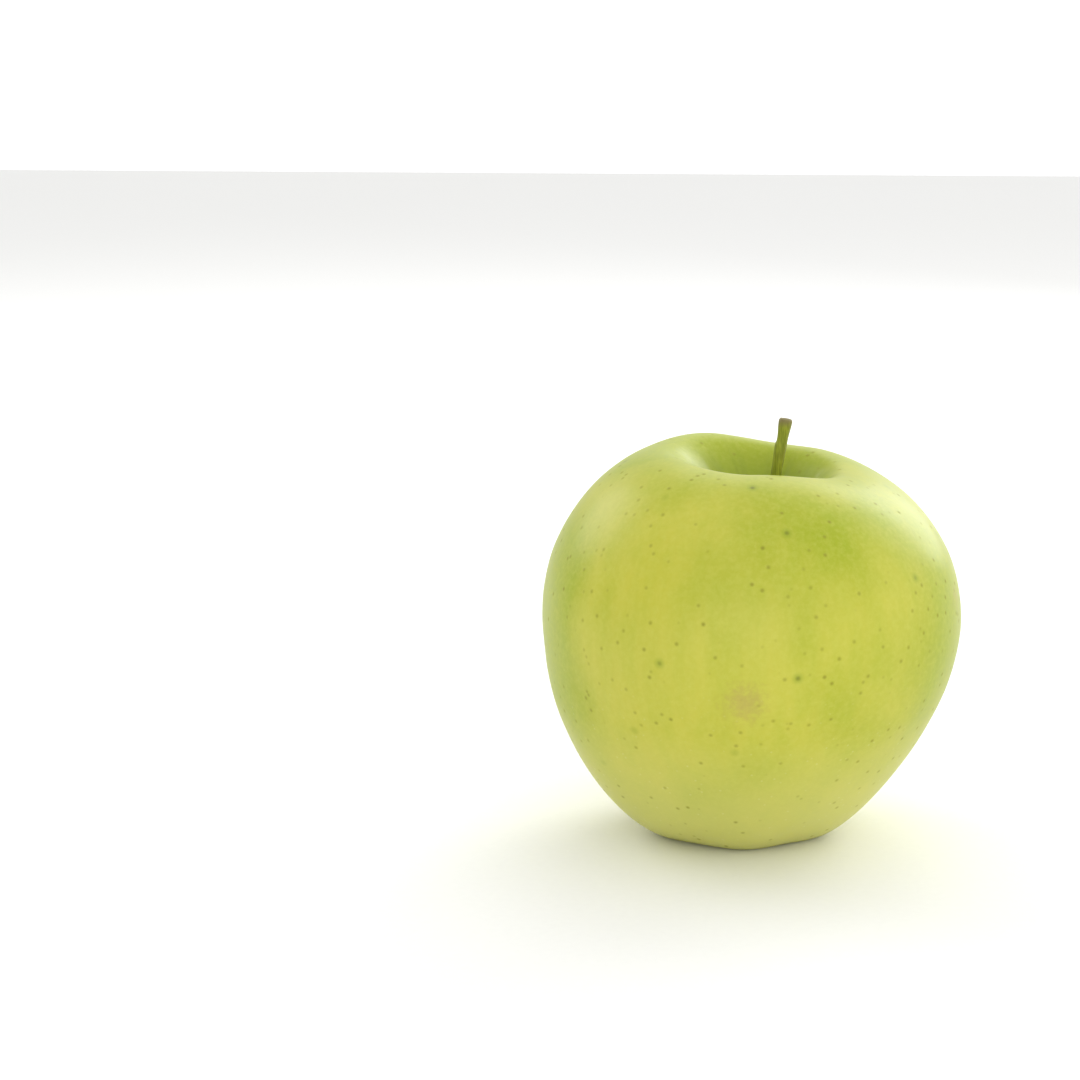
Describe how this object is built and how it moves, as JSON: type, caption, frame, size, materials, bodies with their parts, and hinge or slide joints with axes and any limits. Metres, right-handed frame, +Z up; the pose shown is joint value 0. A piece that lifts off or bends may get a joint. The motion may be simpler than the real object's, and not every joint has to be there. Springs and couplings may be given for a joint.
{
  "type": "apple",
  "caption": "Pale green-yellow dessert apple standing on its lobed foot, with a leaning stem in a deep stem cavity and a dried flower in its eye.",
  "frame": {"origin": "under the middle of the fruit's box, on the surface that the lobes round the eye stand on", "axes": "+Z up along the fruit to its stem, +X to the right, front towards -Y"},
  "size_m": [0.08, 0.078, 0.0808],
  "materials": {
    "skin": "satin",
    "stem": "matte",
    "dried_sepal": "matte",
    "dried_thread": "matte"
  },
  "bodies": {
    "root": {"fruit": "skin", "stem": "stem", "sepal_1": "dried_sepal", "sepal_2": "dried_sepal", "sepal_3": "dried_sepal", "sepal_4": "dried_sepal", "sepal_5": "dried_sepal", "stamen_01": "dried_thread", "stamen_02": "dried_thread", "stamen_03": "dried_thread", "stamen_04": "dried_thread", "stamen_05": "dried_thread", "stamen_06": "dried_thread", "stamen_07": "dried_thread", "stamen_08": "dried_thread", "stamen_09": "dried_thread", "stamen_10": "dried_thread", "style": "dried_thread"}
  },
  "joints": []
}
